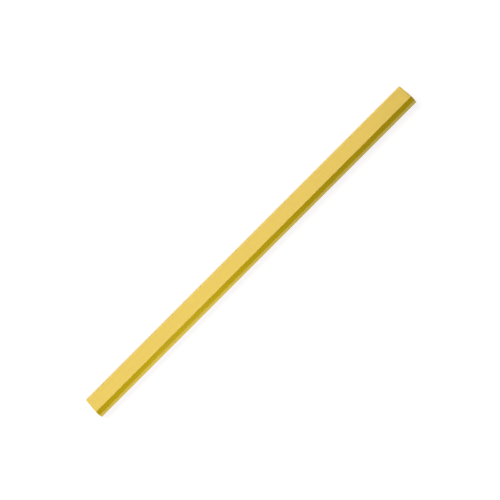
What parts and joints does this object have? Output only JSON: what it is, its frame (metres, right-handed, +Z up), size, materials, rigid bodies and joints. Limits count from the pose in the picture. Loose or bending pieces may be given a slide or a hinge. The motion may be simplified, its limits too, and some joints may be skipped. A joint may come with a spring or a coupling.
{
  "type": "carpenter pencil",
  "caption": "Long flat carpenter pencil with bevelled edges and square, unsharpened ends: wooden slats glued round a flat graphite lead under gloss yellow lacquer.",
  "frame": {"origin": "under the middle of the pencil, on its lower broad face", "axes": "+X along the length, +Y across the broad faces, +Z up through the thickness"},
  "size_m": [0.25, 0.014, 0.007],
  "materials": {
    "upper_wood": "sawn basswood",
    "lower_wood": "sawn basswood",
    "graphite": "satin",
    "dried_glue": "satin",
    "undercoat": "matte",
    "yellow_lacquer": "gloss",
    "clear_lacquer": "gloss"
  },
  "bodies": {
    "root": {"upper_slat": "upper_wood", "lower_slat": "lower_wood", "graphite_lead": "graphite", "left_seam_glue": "dried_glue", "right_seam_glue": "dried_glue", "upper_lead_glue": "dried_glue", "lower_lead_glue": "dried_glue", "undercoat": "undercoat", "colour_coat": "yellow_lacquer", "clear_coat": "clear_lacquer"}
  },
  "joints": []
}
